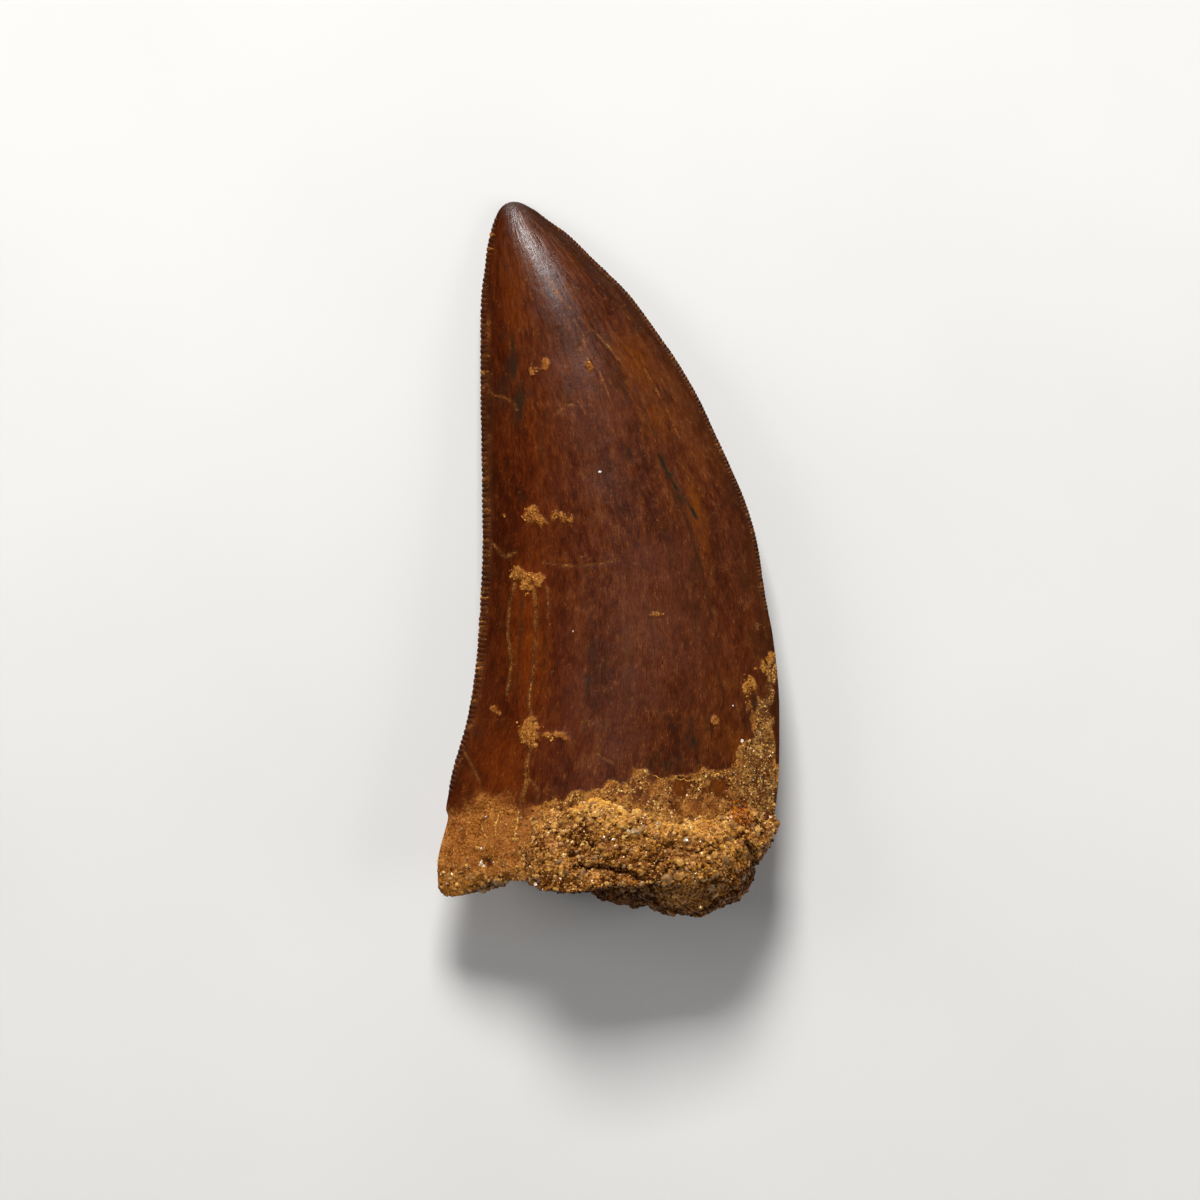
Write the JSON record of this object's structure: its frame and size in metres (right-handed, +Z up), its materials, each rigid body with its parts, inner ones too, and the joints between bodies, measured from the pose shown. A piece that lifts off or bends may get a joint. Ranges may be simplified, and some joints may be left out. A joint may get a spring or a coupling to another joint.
{
  "type": "fossil dinosaur tooth",
  "caption": "Blade-shaped fossil tooth with finely serrated edges and sandstone clinging to its broken base, lying on its side.",
  "frame": {"origin": "middle of the specimen's bounding box in plan, on the surface it lies on", "axes": "+Y from the broken base towards the tip, +X towards the bulging front edge, +Z up from the surface, out of the face that is seen"},
  "size_m": [0.0224, 0.0468, 0.0107],
  "materials": {
    "enamel": "satin fossil enamel",
    "sandstone": "rough, grainy"
  },
  "bodies": {
    "root": {"tooth": "enamel", "sandstone": "sandstone"}
  },
  "joints": []
}
